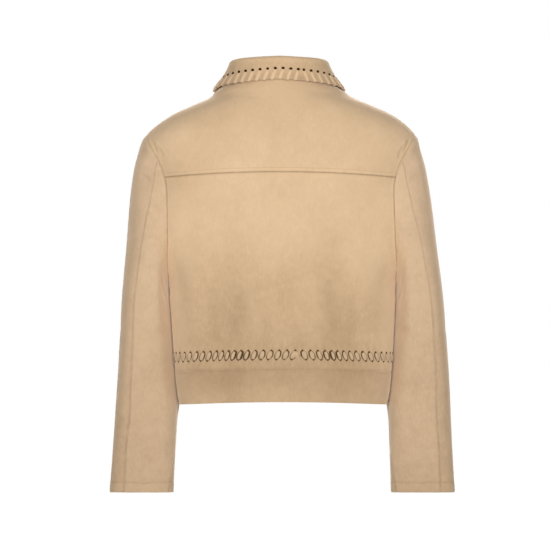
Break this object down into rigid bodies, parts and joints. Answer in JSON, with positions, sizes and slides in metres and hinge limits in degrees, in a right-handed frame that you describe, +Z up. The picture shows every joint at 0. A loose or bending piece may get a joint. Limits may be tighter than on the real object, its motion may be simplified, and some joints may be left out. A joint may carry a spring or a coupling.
{
  "type": "suede jacket",
  "caption": "Cropped tan suede jacket with a turned-down collar, a back yoke, long two-piece sleeves, laced seams and a hem band, filled out as worn.",
  "frame": {"origin": "between the shoulders at the foot of the neck, where the wearer carries the jacket", "axes": "+X to the wearer's left, +Y to the wearer's back, +Z up to the collar"},
  "size_m": [0.5734, 0.2135, 0.7238],
  "materials": {
    "suede": "brushed suede",
    "band_suede": "brushed suede",
    "button": "satin"
  },
  "bodies": {
    "root": {"back_yoke": "suede", "back_panel": "suede", "back_strip": "suede", "back_band": "band_suede", "front_left": "suede", "front_right": "suede", "front_strip_left": "suede", "front_strip_right": "suede", "front_band_left": "band_suede", "front_band_right": "band_suede", "sleeve_left_top": "suede", "sleeve_left_under": "suede", "sleeve_right_top": "suede", "sleeve_right_under": "suede", "collar": "suede", "button_1": "button", "button_2": "button", "button_3": "button", "button_4": "button", "button_5": "button"}
  },
  "joints": []
}
